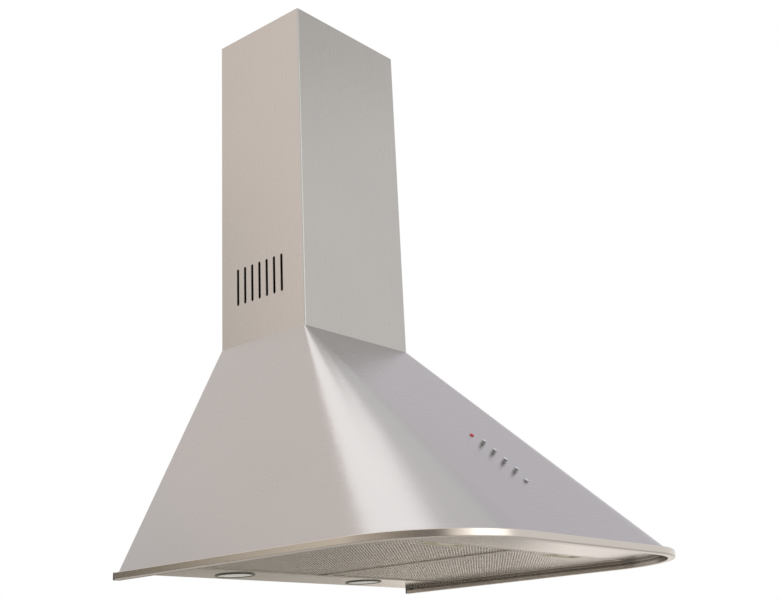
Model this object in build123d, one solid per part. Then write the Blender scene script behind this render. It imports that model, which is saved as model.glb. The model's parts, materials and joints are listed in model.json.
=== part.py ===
from build123d import *
import math
import os

# Wall-mounted chimney range hood with a D-shaped pyramid canopy, 600 mm wide.
# Millimetres. +X is to the right when facing the hood, +Y runs into the wall, +Z is up.
# Heights are drawn from the rim's lowest edge. When a piece is written it is lowered by
# HANG_HEIGHT, so the origin lies in the wall plane at the centre of the four wall holes.

# ---- driving dimensions ----------------------------------------------------------------

# sheet metal and fits
SHEET = 1.0               # canopy, chimney and panel sheet
WALL = 1.5                # the canopy's wall measured level, about SHEET square to the slope
FOLD = 14.0               # width of the folded flanges
BEND = 2.5                # outer radius of the chimney's folded edges
FIT = 0.2                 # clearance between fixed pieces that slip together
SEAT = 0.3                # clearance under a moving piece at rest
REVEAL = 1.0              # joint line round the filters

# canopy and rim
BASE_WIDTH = 600.0
BASE_DEPTH = 548.0
BASE_CORNER = 150.0       # plan radius of the two front corners
RIM_HEIGHT = 10.0
RIM_WIDTH = 10.0
RIM_LEDGE = 8.5           # the rim stands this far outside the canopy's foot
RIM_ROUND = 2.0           # rounding of the rim's lower outer edge
RIM_SOFT = 1.0            # rounding of the rim's upper outer edge
GROOVE_DEPTH = 3.0        # groove along the rim's inner face
GROOVE_LOW = 5.0
GROOVE_HIGH = 8.0
CAP_LENGTH = 2.5          # end cap on each cut end of the rim
CAP_TONGUE = 8.0
CANOPY_RISE = 333.5

# wall fixing
HANG_HEIGHT = 230.0       # centre of the wall holes above the rim's lowest edge
HOLE_SPAN = 220.0         # across
HOLE_RISE = 120.0         # upper pair above lower pair
WALL_HOLE = 4.0           # radius

# chimney
CHIMNEY_WIDTH = 223.5
CHIMNEY_DEPTH = 173.5
CHIMNEY_HEIGHT = 512.0
SLOT_COUNT = 7
SLOT_PITCH = 15.5
SLOT_WIDTH = 5.0
SLOT_LENGTH = 58.0
SLOT_RISE = 90.5          # slot centres above the canopy
SLOT_BACK = 35.5          # rearmost slot from the wall
EXTENSION_START = 136.5   # foot of the inner section above the canopy
EXTENSION_TOP = 5.0       # its head lies this far below the outer section's head
TELESCOPE = 0.8           # clearance between the two sections
LUG_LENGTH = 20.0
LUG_REACH = 6.0
LUG_HEIGHT = 1.5
BRACKET_SHEET = 1.5
BRACKET_HEIGHT = 25.0
BRACKET_RISE = 16.5       # lower bracket above the canopy
BRACKET_DROP = 30.0       # upper bracket below the inner section's head
BRACKET_SPAN = 160.0
BRACKET_HOLE = 2.75       # radius

# underside panels and lamps
LAMP_STRIP = 88.0         # depth of the rear strip that carries the lamps
STRIP_GAP = 1.0
LIP = 6.0                 # upturned lip beside the filters
LAMP_X = 132.0
LAMP_Y = 48.0
LAMP_HOLE = 26.5          # radius
RING_RADIUS = 27.8
RING_DROP = 1.4
RING_BEVEL = 0.8
LENS_RADIUS = 25.0
LENS_THICKNESS = 2.0
LENS_LIP = 0.8
CAN_RADIUS = 30.0
CAN_WALL = 1.0
CAN_HEIGHT = 36.0
CAN_FLANGE = 4.0
CAN_SHOULDER = 6.0
HOLDER_RADIUS = 9.0
HOLDER_HEIGHT = 10.0
HOLDER_CHAMFER = 1.8
BULB_RADIUS = 5.5
BULB_LENGTH = 16.0
BULB_POINT = 4.0          # taper at the bulb's end

# grease filters
SIDE_MARGIN = 40.5        # from the rim's outer side to the filters
FRONT_MARGIN = 119.0      # from the rim's front to the filters
FILTER_THICKNESS = 9.0
FRAME_WALL = 1.2
FRAME_LIP = 4.5
MESH_SHEET = 0.8
MESH_PITCH = 48.0         # diagonal of one diamond; coarser than the real expanded metal
MESH_STRAND = 4.0
MESH_BORDER = 6.0
PLEAT_PITCH = 13.0
PLEAT_SHEET = 1.2
TAB_WIDTH = 20.0
TAB_REACH = 8.0
TAB_SHEET = 1.5
TAB_INSET = 52.0          # middle of each tab from the frame's side
FILTER_GAP = 0.5          # between the filters' rear edge and the joint line

# filter grip and latch
GRIP_WIDTH = 80.0
GRIP_DEPTH = 20.0
GRIP_FRONT = 9.0          # cup behind the filter's front edge
GRIP_WALL = 1.0
LATCH_TRAVEL = 6.5
LATCH_WIDTH = 28.0
LATCH_BLOCK = 9.0
NAIL_GROOVES = 2          # grooves across the slider for a fingernail
NAIL_GROOVE = 1.0
NAIL_DEPTH = 0.6
TONGUE_WIDTH = 12.0
TONGUE_SHEET = 1.6
CATCH = 6.0               # the tongue reaches this far over the base panel

# controls on the front slope
BUTTON_COUNT = 5
BUTTON_START = 285.0      # first button down the slope from the chimney's foot
BUTTON_PITCH = 21.6
BUTTON_RADIUS = 3.2
BUTTON_REACH = 6.5        # stands proud when released
BUTTON_TRAVEL = 3.5
BUTTON_BEVEL = 0.6
BUTTON_HOLE = 0.4         # clearance round the stem
BUTTON_COLLAR = 4.4
COLLAR_SHEET = 2.0
TAIL_WIDTH = 4.0          # square tail into the switch
TAIL_LENGTH = 14.0
PILOT_RADIUS = 3.0
PILOT_DEPTH = 8.0
PILOT_PROUD = 2.0
PILOT_BEVEL = 1.0
BLOCK_HALF = 15.0
BLOCK_END = 12.0
BLOCK_DEPTH = 28.0

# blower
IMPELLER_RADIUS = 78.0
IMPELLER_HALF = 45.0
BLADE_COUNT = 30
BLADE_DEPTH = 13.0
BLADE_SHEET = 1.2
BLADE_LEAN = 6.0
BLADE_BOW = 1.6
BLADE_INSET = 0.5         # blade tips inside the wheel's rim
BLADE_RING = 13.5         # width of the three rings that hold the blades
IMPELLER_DISC = 2.0
HUB_RADIUS = 14.0
HUB_HALF = 12.0
SHAFT_RADIUS = 4.0
SHAFT_FIT = 0.05
SCROLL_GAP = 8.0          # least gap between the wheel and the scroll
SCROLL_STEP = 6.0         # the scroll grows by this much each quarter turn
SCROLL_HALF = 56.0        # inside half width
SCROLL_WALL = 2.0
BLOWER_DROP = 142.5       # wheel axis below the canopy's top plate
INLET_RADIUS = 60.0
INLET_DEPTH = 8.0
FLANGE_REACH = 12.0
MOTOR_RADIUS = 40.0
MOTOR_GAP = 2.0
MOTOR_LENGTH = 62.0
MOTOR_BEVEL = 5.0
MOTOR_FLANGE = 6.0
MOUNT_SHEET = 2.0
MOUNT_ARM = 12.0
MOUNT_RING = 4.0
CAPACITOR_RADIUS = 15.0
CAPACITOR_LENGTH = 46.0
CAPACITOR_BEVEL = 2.2

# outlet collar and non-return flaps
COLLAR_RADIUS = 75.0
COLLAR_WALL = 2.0
COLLAR_HEIGHT = 60.0
COLLAR_FLANGE = 7.0
FLAP_RISE = 20.0          # flap axle above the canopy's top
FLAP_SHEET = 1.2
FLAP_GAP = 1.0            # between a flap and the collar's bore
FLAP_SPLIT = 5.0          # flap's straight edge from the axle
LEDGE = 3.0
AXLE_RADIUS = 1.5
AXLE_FIT = 0.07
KNUCKLE_RADIUS = 3.0
KNUCKLE_LENGTH = 15.0
KNUCKLE_REAR = 52.0       # middle of each rear knuckle from the centre
KNUCKLE_FRONT = 34.0
BOSS_RADIUS = 4.0
BOSS_LENGTH = 7.0

# electrics
BOX_WIDTH = 90.0
BOX_HEIGHT = 52.0
BOX_DEPTH = 30.0
BOX_WALL = 2.0
BOX_LID = 2.0
BOX_INSET = 135.0         # middle of each box from the rim's outer side
BOX_RISE = 62.0           # foot of each box above the rim's lowest edge
BLOCK_LENGTH = 60.0
BLOCK_HEIGHT = 16.0
BLOCK_THICK = 14.0
DRIVER_FOOT = 8.0
GLAND_X = 92.0
GLAND_Y = 150.0
GLAND_ACROSS = 18.0
GLAND_HEX = 6.0
GLAND_DOME = 8.0
GLAND_NECK = 6.0
GLAND_BORE = 4.0
GLAND_TAIL = 9.0
DOME_RADIUS = 7.9
DOME_BEVEL = 2.0

# screws
SCREW_RADIUS = 2.0
SCREW_HEAD = 3.5          # half its width across the flats
SCREW_CAP = 2.4
SCREW_LENGTH = 9.0

# ---- heights and half widths that follow ---------------------------------------------

canopy_foot = RIM_HEIGHT
canopy_top = RIM_HEIGHT + CANOPY_RISE
panel_low = RIM_HEIGHT - SHEET
foot_half = BASE_WIDTH / 2 - RIM_LEDGE
foot_depth = BASE_DEPTH - RIM_LEDGE
foot_corner = BASE_CORNER - RIM_LEDGE
top_half = CHIMNEY_WIDTH / 2
plate_under = canopy_top - SHEET
middle_y = -CHIMNEY_DEPTH / 2

slope_run = foot_depth - CHIMNEY_DEPTH
slope_length = math.hypot(slope_run, CANOPY_RISE)
slope_level = slope_run / slope_length
slope_fall = CANOPY_RISE / slope_length
skin = WALL * slope_fall

filter_rear = -(LAMP_STRIP + STRIP_GAP + FILTER_GAP)
filter_front = FRONT_MARGIN - BASE_DEPTH
filter_top = panel_low + FILTER_THICKNESS
filter_inner = REVEAL
filter_outer = BASE_WIDTH / 2 - SIDE_MARGIN
filter_middle = (filter_inner + filter_outer) / 2

os.makedirs("parts", exist_ok=True)


def write(name, shape):
    """Write one piece with the wall holes' centre as the origin."""
    export_step(Pos(0, 0, -HANG_HEIGHT) * shape, f"parts/{name}.step")


def block(x0, x1, y0, y1, z0, z1):
    """Square-edged block between two corners."""
    middle = Pos((x0 + x1) / 2, (y0 + y1) / 2, (z0 + z1) / 2)
    return middle * Box(x1 - x0, y1 - y0, z1 - z0)


def post(x, y, z0, z1, radius):
    """Upright round bar."""
    return Pos(x, y, (z0 + z1) / 2) * Cylinder(radius, z1 - z0)


def bar(x0, x1, y, z, radius):
    """Round bar along X."""
    return Pos((x0 + x1) / 2, y, z) * Rot(0, 90, 0) * Cylinder(radius, x1 - x0)


def both_sides(shape):
    """A piece and its mirror image across the centre line."""
    return [shape, mirror(shape, Plane.YZ)]


def plan(half, front, corner, z, rear=0.0):
    """Plan outline with a straight rear edge and two rounded front corners."""
    edges = [
        Line((-half, rear), (-half, front + corner)),
        CenterArc((-half + corner, front + corner), corner, 180, 90),
        Line((-half + corner, front), (half - corner, front)),
        CenterArc((half - corner, front + corner), corner, 270, 90),
        Line((half, front + corner), (half, rear)),
        Line((half, rear), (-half, rear)),
    ]
    return Pos(0, 0, z) * make_face(edges)


def base_plan(inset, z, rear=0.0):
    """The rim's outer outline drawn in by inset."""
    return plan(BASE_WIDTH / 2 - inset, inset - BASE_DEPTH, BASE_CORNER - inset, z, rear)


def canopy_half(z):
    """Half width of the canopy's outside at a height."""
    share = (z - canopy_foot) / CANOPY_RISE
    return foot_half + share * (top_half - foot_half)


def canopy_plan(z, inset, rear=0.0):
    """The canopy's outside at a height, drawn in by inset."""
    share = (z - canopy_foot) / CANOPY_RISE
    front = foot_depth + share * (CHIMNEY_DEPTH - foot_depth)
    corner = foot_corner + share * (BEND - foot_corner)
    return plan(canopy_half(z) - inset, inset - front, corner - min(inset, 0.6 * BEND), z, rear)


def canopy_block(z0, z1, inset, rear=0.0):
    """The canopy's form between two heights: flat faces and conical corners."""
    return loft([canopy_plan(z0, inset, rear), canopy_plan(z1, inset, rear)], ruled=True)


def slope_plane(distance):
    """Plane on the front slope, its Z outwards, its Y up the slope."""
    origin = (0, -CHIMNEY_DEPTH - distance * slope_level, canopy_top - distance * slope_fall)
    return Plane(origin=origin, x_dir=(1, 0, 0), z_dir=(0, -slope_fall, slope_level))


def on_slope(distance, shape):
    """Place a shape drawn on the XY plane onto the front slope."""
    return slope_plane(distance).location * shape


button_places = [BUTTON_START + BUTTON_PITCH * number for number in range(BUTTON_COUNT)]
pilot_place = BUTTON_START - BUTTON_PITCH

# the blower's neck stands centred under the outlet collar
scroll_radius = IMPELLER_RADIUS + SCROLL_GAP
neck_width = scroll_radius + 3 * SCROLL_STEP
neck_front = middle_y - neck_width / 2
neck_rear = middle_y + neck_width / 2
side_face = SCROLL_HALF + SCROLL_WALL
screw_x = side_face + FLANGE_REACH - SCREW_HEAD
screw_ys = [neck_front - FLANGE_REACH / 2, neck_rear + FLANGE_REACH / 2]
collar_bore = COLLAR_RADIUS - COLLAR_WALL


# ---- canopy ----------------------------------------------------------------------------


def canopy_shell():
    """Folded shell: three sloping sides, top plate, bottom and rear flanges."""
    outer = canopy_block(canopy_foot, canopy_top, 0)
    shell = outer - canopy_block(canopy_foot + SHEET, plate_under, WALL, rear=SHEET)
    slab = block(-BASE_WIDTH, BASE_WIDTH, -2 * SHEET, -SHEET, 0, canopy_top)
    window = canopy_block(canopy_foot - SHEET, plate_under - FOLD, WALL + FOLD, rear=SHEET)
    shell += (outer & slab) - window
    shell -= extrude(base_plan(RIM_WIDTH + FOLD, 0, rear=SHEET), canopy_foot + 2 * SHEET)
    shell -= post(0, middle_y, plate_under - SHEET, canopy_top + SHEET, collar_bore)
    shell -= post(-GLAND_X, -GLAND_Y, plate_under - SHEET, canopy_top + SHEET, GLAND_NECK + FIT)
    for x in (-screw_x, screw_x):
        for y in screw_ys:
            shell -= post(x, y, plate_under - SHEET, canopy_top + SHEET, SCREW_RADIUS + FIT)
    for place in button_places:
        shell -= on_slope(place, Cylinder(BUTTON_RADIUS + BUTTON_HOLE, 6 * SHEET))
    shell -= on_slope(pilot_place, Cylinder(PILOT_RADIUS + FIT, 6 * SHEET))
    return shell


def canopy_back_panel():
    """Plate behind the canopy that hangs on the wall screws."""
    low = canopy_foot + SHEET + FIT
    high = plate_under - FIT
    half_low = canopy_half(low) - WALL - FIT
    half_high = canopy_half(high) - WALL - FIT
    corners = [(-half_low, low), (half_low, low), (half_high, high), (-half_high, high)]
    outline = make_face(Polyline(corners, close=True))
    panel = Plane.XZ.location * extrude(outline, SHEET)
    half_foot = BASE_WIDTH / 2 - RIM_WIDTH - FOLD - FIT
    panel += block(-half_foot, half_foot, -SHEET, 0, canopy_foot, low)
    panel += block(-half_foot, half_foot, -FOLD, 0, canopy_foot, canopy_foot + SHEET)
    for x in (-HOLE_SPAN / 2, HOLE_SPAN / 2):
        for rise in (-HOLE_RISE / 2, HOLE_RISE / 2):
            panel -= Pos(x, 0, HANG_HEIGHT + rise) * Rot(90, 0, 0) * Cylinder(WALL_HOLE, 4 * SHEET)
    return panel


def rim_rail():
    """Solid band round the sides and the front, grooved along its inner face."""
    rail = extrude(base_plan(0, 0, rear=-CAP_LENGTH), RIM_HEIGHT)
    lower = [e for e in rail.edges().group_by(Axis.Z)[0] if e.center().Y < -2 * CAP_LENGTH]
    rail = fillet(lower, RIM_ROUND)
    upper = [e for e in rail.edges().group_by(Axis.Z)[-1] if e.center().Y < -2 * CAP_LENGTH]
    rail = fillet(upper, RIM_SOFT)
    rail -= extrude(base_plan(RIM_WIDTH, -SHEET, rear=SHEET), RIM_HEIGHT + 2 * SHEET)
    groove = extrude(base_plan(RIM_WIDTH - GROOVE_DEPTH, GROOVE_LOW, rear=SHEET), GROOVE_HIGH - GROOVE_LOW)
    return rail - groove


def rim_end_caps():
    """Two caps on the rim's cut ends, each with a tongue in the groove."""
    outer = BASE_WIDTH / 2
    inner = outer - RIM_WIDTH
    cap = block(inner, outer, -CAP_LENGTH, 0, 0, RIM_HEIGHT)
    cap = fillet([e for e in cap.edges().filter_by(Axis.Y) if e.center().X > inner + SHEET], RIM_SOFT)
    cap += block(
        inner + FIT,
        inner + GROOVE_DEPTH - FIT,
        -CAP_LENGTH - CAP_TONGUE,
        -CAP_LENGTH,
        GROOVE_LOW + FIT,
        GROOVE_HIGH - FIT,
    )
    return Compound(children=both_sides(cap))


# ---- underside --------------------------------------------------------------------------

opening_half = filter_outer + REVEAL
opening_front = filter_front - REVEAL
panel_inset = RIM_WIDTH + FIT


def base_panel():
    """U-shaped panel round the two filters, with a lip folded up beside them."""
    rear = -(LAMP_STRIP + STRIP_GAP)
    panel = extrude(base_plan(panel_inset, panel_low, rear=rear), SHEET)
    panel -= block(-opening_half, opening_half, opening_front, 0, 0, canopy_top)
    lip = block(
        opening_half, opening_half + SHEET, opening_front, rear, RIM_HEIGHT, RIM_HEIGHT + LIP
    )
    for side in both_sides(lip):
        panel += side
    return panel


def lamp_panel():
    """Rear strip that carries the two lamps."""
    half = BASE_WIDTH / 2 - panel_inset
    panel = block(-half, half, -LAMP_STRIP, 0, panel_low, RIM_HEIGHT)
    for x in (-LAMP_X, LAMP_X):
        panel -= post(x, -LAMP_Y, 0, 2 * RIM_HEIGHT, LAMP_HOLE)
    return panel


def lamp_ring(x):
    """Trim ring whose neck passes up through the panel and holds the lens."""
    low = panel_low - RING_DROP
    neck = LAMP_HOLE - FIT
    ring = post(x, -LAMP_Y, low, panel_low, RING_RADIUS)
    ring = chamfer(ring.edges().group_by(Axis.Z)[0], RING_BEVEL)
    ring += post(x, -LAMP_Y, panel_low, RIM_HEIGHT + LENS_THICKNESS, neck)
    ring -= post(x, -LAMP_Y, low + LENS_LIP, canopy_top, LENS_RADIUS + FIT)
    return ring - post(x, -LAMP_Y, 0, canopy_top, LENS_RADIUS - LENS_LIP)


def lamp_lens(x):
    """Frosted disc that rests on the ring's lip."""
    low = panel_low - RING_DROP + LENS_LIP
    return post(x, -LAMP_Y, low, low + LENS_THICKNESS, LENS_RADIUS)


def lamp_can(x):
    """Reflector can, flanged onto the panel's upper face."""
    high = RIM_HEIGHT + CAN_HEIGHT
    can = post(x, -LAMP_Y, RIM_HEIGHT, high, CAN_RADIUS)
    can = chamfer(can.edges().group_by(Axis.Z)[-1], CAN_SHOULDER)
    can += post(x, -LAMP_Y, RIM_HEIGHT, RIM_HEIGHT + CAN_WALL, CAN_RADIUS + CAN_FLANGE)
    hollow = post(x, -LAMP_Y, 0, high - CAN_WALL, CAN_RADIUS - CAN_WALL)
    return can - chamfer(hollow.edges().group_by(Axis.Z)[-1], CAN_SHOULDER - CAN_WALL / 2)


def lamp_holder(x):
    """Ceramic lampholder under the can's roof."""
    high = RIM_HEIGHT + CAN_HEIGHT - CAN_WALL
    holder = post(x, -LAMP_Y, high - HOLDER_HEIGHT, high, HOLDER_RADIUS)
    return chamfer(holder.edges().group_by(Axis.Z)[0], HOLDER_CHAMFER)


def lamp_bulb(x):
    """Capsule bulb in the holder."""
    high = RIM_HEIGHT + CAN_HEIGHT - CAN_WALL - HOLDER_HEIGHT
    bulb = post(x, -LAMP_Y, high - BULB_LENGTH, high, BULB_RADIUS)
    return chamfer(bulb.edges().group_by(Axis.Z)[0], BULB_POINT)


# ---- grease filters (drawn for the right-hand side) --------------------------------------

mesh_low = panel_low + SHEET + FIT / 2
mesh_high = mesh_low + MESH_SHEET
inside = FRAME_WALL + FIT
pack_low = mesh_high + FIT
pack_high = filter_top - SHEET - FIT
cup_front = filter_front + GRIP_FRONT
cup_rear = cup_front + GRIP_DEPTH
cup_left = filter_middle - GRIP_WIDTH / 2
cup_right = filter_middle + GRIP_WIDTH / 2
cup_roof = pack_high - GRIP_WALL
tongue_high = mesh_high + SEAT + TONGUE_SHEET + FIT
tongue_low = tongue_high - TONGUE_SHEET
tongue_half = TONGUE_WIDTH / 2


def filter_frame():
    """Channel frame, open towards its middle, with two tabs at the rear."""
    outer = block(filter_inner, filter_outer, filter_front, filter_rear, panel_low, filter_top)
    hollow = block(
        filter_inner + FRAME_WALL,
        filter_outer - FRAME_WALL,
        filter_front + FRAME_WALL,
        filter_rear - FRAME_WALL,
        panel_low + SHEET,
        filter_top - SHEET,
    )
    window = block(
        filter_inner + FRAME_LIP,
        filter_outer - FRAME_LIP,
        filter_front + FRAME_LIP,
        filter_rear - FRAME_LIP,
        0,
        canopy_top,
    )
    frame = outer - hollow - window
    frame -= block(
        filter_middle - tongue_half - SEAT,
        filter_middle + tongue_half + SEAT,
        filter_front - SHEET,
        filter_front + 2 * FRAME_WALL,
        RIM_HEIGHT,
        tongue_high + SEAT,
    )
    for x in (filter_inner + TAB_INSET, filter_outer - TAB_INSET):
        frame += block(
            x - TAB_WIDTH / 2,
            x + TAB_WIDTH / 2,
            filter_rear,
            filter_rear + TAB_REACH,
            RIM_HEIGHT + SEAT,
            RIM_HEIGHT + SEAT + TAB_SHEET,
        )
    return frame


def rectangle_wire(x0, x1, y0, y1):
    """Closed rectangle on the XY plane."""
    return Wire(Polyline((x0, y0), (x1, y0), (x1, y1), (x0, y1), close=True).edges())


def diamond_wire(x, y, half):
    """Closed diamond on the XY plane."""
    return Wire(Polyline((x - half, y), (x, y - half), (x + half, y), (x, y + half), close=True).edges())


def filter_mesh():
    """Expanded-metal facing: a sheet with staggered rows of diamonds."""
    x0 = filter_inner + inside
    x1 = filter_outer - inside
    y0 = filter_front + inside
    y1 = filter_rear - inside
    half = MESH_PITCH / 2 - MESH_STRAND / 2
    holes = []
    columns = int((x1 - x0 - 2 * MESH_BORDER) / MESH_PITCH)
    rows = int((y1 - y0 - 2 * MESH_BORDER) / MESH_PITCH)
    start_x = (x0 + x1) / 2 - (columns - 1) * MESH_PITCH / 2
    start_y = (y0 + y1) / 2 - (rows - 1) * MESH_PITCH / 2
    for row in range(2 * rows - 1):
        shift = (row % 2) * MESH_PITCH / 2
        for column in range(columns - row % 2):
            x = start_x + shift + column * MESH_PITCH
            y = start_y + row * MESH_PITCH / 2
            near_x = cup_left - half - MESH_STRAND < x < cup_right + half + MESH_STRAND
            near_y = y < cup_rear + half + MESH_STRAND
            if not (near_x and near_y):
                holes.append(diamond_wire(x, y, half))
    holes.append(rectangle_wire(cup_left - FIT, cup_right + FIT, cup_front - FIT, cup_rear + FIT))
    sheet = Pos(0, 0, mesh_low) * extrude(Face(rectangle_wire(x0, x1, y0, y1), holes), MESH_SHEET)
    notch = tongue_half + SEAT
    return sheet - block(
        filter_middle - notch, filter_middle + notch, y0 - SHEET, filter_front + LATCH_TRAVEL, 0, canopy_top
    )


def filter_pack():
    """Pleated layer of knitted aluminium behind the facing."""
    y0 = filter_front + inside
    y1 = filter_rear - inside
    count = int((y1 - y0) / PLEAT_PITCH)
    pitch = (y1 - y0) / count
    under = []
    for number in range(count):
        under.append((y0 + number * pitch, pack_low))
        under.append((y0 + (number + 0.5) * pitch, pack_high - PLEAT_SHEET))
    under.append((y1, pack_low))
    over = [(y, z + PLEAT_SHEET) for y, z in reversed(under)]
    section = Plane.YZ.location * make_face(Polyline(under + over, close=True))
    pack = Pos(filter_inner + inside, 0, 0) * extrude(section, filter_outer - filter_inner - 2 * inside)
    pack -= block(cup_left - FIT, cup_right + FIT, cup_front - FIT, cup_rear + FIT, 0, canopy_top)
    notch = tongue_half + SEAT
    return pack - block(
        filter_middle - notch, filter_middle + notch, filter_front, cup_front, 0, canopy_top
    )


def filter_grip():
    """Cup for the fingers, let into the filter behind its front edge."""
    cup = block(cup_left, cup_right, cup_front, cup_rear, mesh_low, pack_high)
    cup -= block(
        cup_left + GRIP_WALL, cup_right - GRIP_WALL, cup_front + GRIP_WALL, cup_rear - GRIP_WALL, 0, cup_roof
    )
    return cup - block(
        filter_middle - tongue_half - FIT,
        filter_middle + tongue_half + FIT,
        cup_front - SHEET,
        cup_front + 2 * GRIP_WALL,
        tongue_low - FIT,
        tongue_high + FIT,
    )


def filter_latch():
    """Sprung slider in the cup, whose tongue hooks over the base panel."""
    front = cup_front + GRIP_WALL + SEAT
    slider = block(
        filter_middle - LATCH_WIDTH / 2,
        filter_middle + LATCH_WIDTH / 2,
        front,
        front + LATCH_BLOCK,
        mesh_low,
        cup_roof - SEAT,
    )
    for number in range(1, NAIL_GROOVES + 1):
        y = front + number * LATCH_BLOCK / (NAIL_GROOVES + 1)
        slider -= block(0, BASE_WIDTH, y - NAIL_GROOVE / 2, y + NAIL_GROOVE / 2, 0, mesh_low + NAIL_DEPTH)
    slider += block(
        filter_middle - tongue_half,
        filter_middle + tongue_half,
        opening_front - CATCH,
        front,
        tongue_low,
        tongue_high,
    )
    return slider + block(
        filter_middle - tongue_half,
        filter_middle + tongue_half,
        opening_front - CATCH,
        opening_front + FIT,
        RIM_HEIGHT + SEAT,
        tongue_low,
    )


# ---- controls ----------------------------------------------------------------------------

block_face = -(skin + SEAT)
collar_top = -(skin + 2 * SEAT)


def push_button(pressed):
    """Chromed pin with a retaining collar behind the skin and a tail into the switch."""
    tip = BUTTON_REACH
    stem = Pos(0, 0, (tip + collar_top) / 2) * Cylinder(BUTTON_RADIUS, tip - collar_top)
    stem = chamfer(stem.edges().group_by(Axis.Z)[-1], BUTTON_BEVEL)
    stem += Pos(0, 0, collar_top - COLLAR_SHEET / 2) * Cylinder(BUTTON_COLLAR, COLLAR_SHEET)
    tail = collar_top - COLLAR_SHEET
    stem += Pos(0, 0, tail - TAIL_LENGTH / 2) * Box(TAIL_WIDTH, TAIL_WIDTH, TAIL_LENGTH)
    return Pos(0, 0, -pressed) * stem


def switch_block():
    """Switch bank behind the front slope, bored for the buttons and the pilot lamp."""
    length = button_places[-1] - pilot_place + 2 * BLOCK_END
    middle = (button_places[-1] + pilot_place) / 2
    bank = Pos(0, 0, block_face - BLOCK_DEPTH / 2) * Box(2 * BLOCK_HALF, length, BLOCK_DEPTH)
    bank = on_slope(middle, chamfer(bank.edges().group_by(Axis.Z)[0], 2 * SHEET))
    chamber = COLLAR_SHEET + BUTTON_TRAVEL + 3 * SEAT
    bore = Box(TAIL_WIDTH + 2 * SEAT, TAIL_WIDTH + 2 * SEAT, 2 * BLOCK_DEPTH)
    for place in button_places:
        wide = Pos(0, 0, block_face - chamber / 2) * Cylinder(BUTTON_COLLAR + SEAT, chamber)
        bank -= on_slope(place, wide)
        bank -= on_slope(place, Pos(0, 0, block_face - BLOCK_DEPTH / 2) * bore)
    socket = Pos(0, 0, block_face - PILOT_DEPTH / 2) * Cylinder(PILOT_RADIUS + FIT, PILOT_DEPTH)
    return bank - on_slope(pilot_place, socket)


def pilot_lens():
    """Red lens of the pilot lamp, seated in the switch bank."""
    low = block_face - PILOT_DEPTH
    lens = Pos(0, 0, (low + PILOT_PROUD) / 2) * Cylinder(PILOT_RADIUS, PILOT_PROUD - low)
    return on_slope(pilot_place, chamfer(lens.edges().group_by(Axis.Z)[-1], PILOT_BEVEL))


# ---- blower ------------------------------------------------------------------------------

wheel_z = plate_under - BLOWER_DROP
wheel_y = neck_front


def scroll_face(grow, top):
    """Air space of the scroll, drawn from the corners of a small square, and its neck."""
    first = (wheel_y, wheel_z)
    second = (wheel_y + SCROLL_STEP, wheel_z)
    third = (wheel_y + SCROLL_STEP, wheel_z + SCROLL_STEP)
    r1 = scroll_radius + grow
    r2 = r1 + SCROLL_STEP
    r3 = r2 + SCROLL_STEP
    wall = wheel_y - grow
    tongue = wheel_z + math.sqrt(r1**2 - grow**2)
    angle = math.degrees(math.atan2(tongue - wheel_z, -grow))
    rear = third[0] + r3
    edges = [
        CenterArc(first, r1, angle, 180 - angle),
        CenterArc(second, r2, 180, 90),
        CenterArc(third, r3, 270, 90),
        Line((rear, third[1]), (rear, top)),
        Line((rear, top), (wall, top)),
        Line((wall, top), (wall, tongue)),
    ]
    return make_face(edges)


def along_x(face, x0, x1):
    """Extrude a face drawn in (y, z) between two x positions."""
    return Pos(x0, 0, 0) * extrude(Plane.YZ.location * face, x1 - x0)


def blower_housing(side):
    """Half of the scroll housing, with its inlet ring and half of the top flange."""
    shell = along_x(scroll_face(SCROLL_WALL, plate_under), 0, side_face)
    shell += block(
        0,
        side_face + FLANGE_REACH,
        neck_front - FLANGE_REACH,
        neck_rear + FLANGE_REACH,
        plate_under - SCROLL_WALL,
        plate_under,
    )
    shell += bar(SCROLL_HALF - INLET_DEPTH, side_face, wheel_y, wheel_z, INLET_RADIUS + SCROLL_WALL)
    air = along_x(scroll_face(0, canopy_top), -SHEET, SCROLL_HALF)
    air -= bar(SCROLL_HALF - INLET_DEPTH, side_face, wheel_y, wheel_z, INLET_RADIUS + SCROLL_WALL)
    shell -= air
    shell -= bar(0, 2 * side_face, wheel_y, wheel_z, INLET_RADIUS)
    for y in screw_ys:
        shell -= post(screw_x, y, 0, canopy_top, SCREW_RADIUS + FIT)
    if side < 0:
        shell = mirror(shell, Plane.YZ)
    return shell


def blade_face():
    """Section of one forward-curved blade."""
    inner = IMPELLER_RADIUS - BLADE_DEPTH
    outer = IMPELLER_RADIUS - BLADE_INSET
    bend = ((inner + outer) / 2, BLADE_LEAN / 2 - BLADE_BOW)
    tip = BLADE_LEAN + BLADE_SHEET
    edges = [
        ThreePointArc((inner, 0), bend, (outer, BLADE_LEAN)),
        Line((outer, BLADE_LEAN), (outer, tip)),
        ThreePointArc((outer, tip), (bend[0], bend[1] + BLADE_SHEET), (inner, BLADE_SHEET)),
        Line((inner, BLADE_SHEET), (inner, 0)),
    ]
    return make_face(edges)


wheel_place = Pos(0, wheel_y, wheel_z) * Rot(0, 90, 0)
disc_radius = IMPELLER_RADIUS - BLADE_RING


def impeller():
    """Double-inlet squirrel cage: forward-curved blades held by a ring at each end and at the middle."""
    blade_half = IMPELLER_HALF - IMPELLER_DISC / 2
    blade = Pos(0, 0, -blade_half) * extrude(blade_face(), 2 * blade_half)
    blades = [Rot(0, 0, 360 / BLADE_COUNT * number) * blade for number in range(BLADE_COUNT)]
    ring = Cylinder(IMPELLER_RADIUS, IMPELLER_DISC) - Cylinder(disc_radius, 2 * IMPELLER_DISC)
    outer_rings = [Pos(0, 0, end * blade_half) * ring for end in (-1, 1)]
    return wheel_place * (ring + outer_rings + blades)


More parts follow.
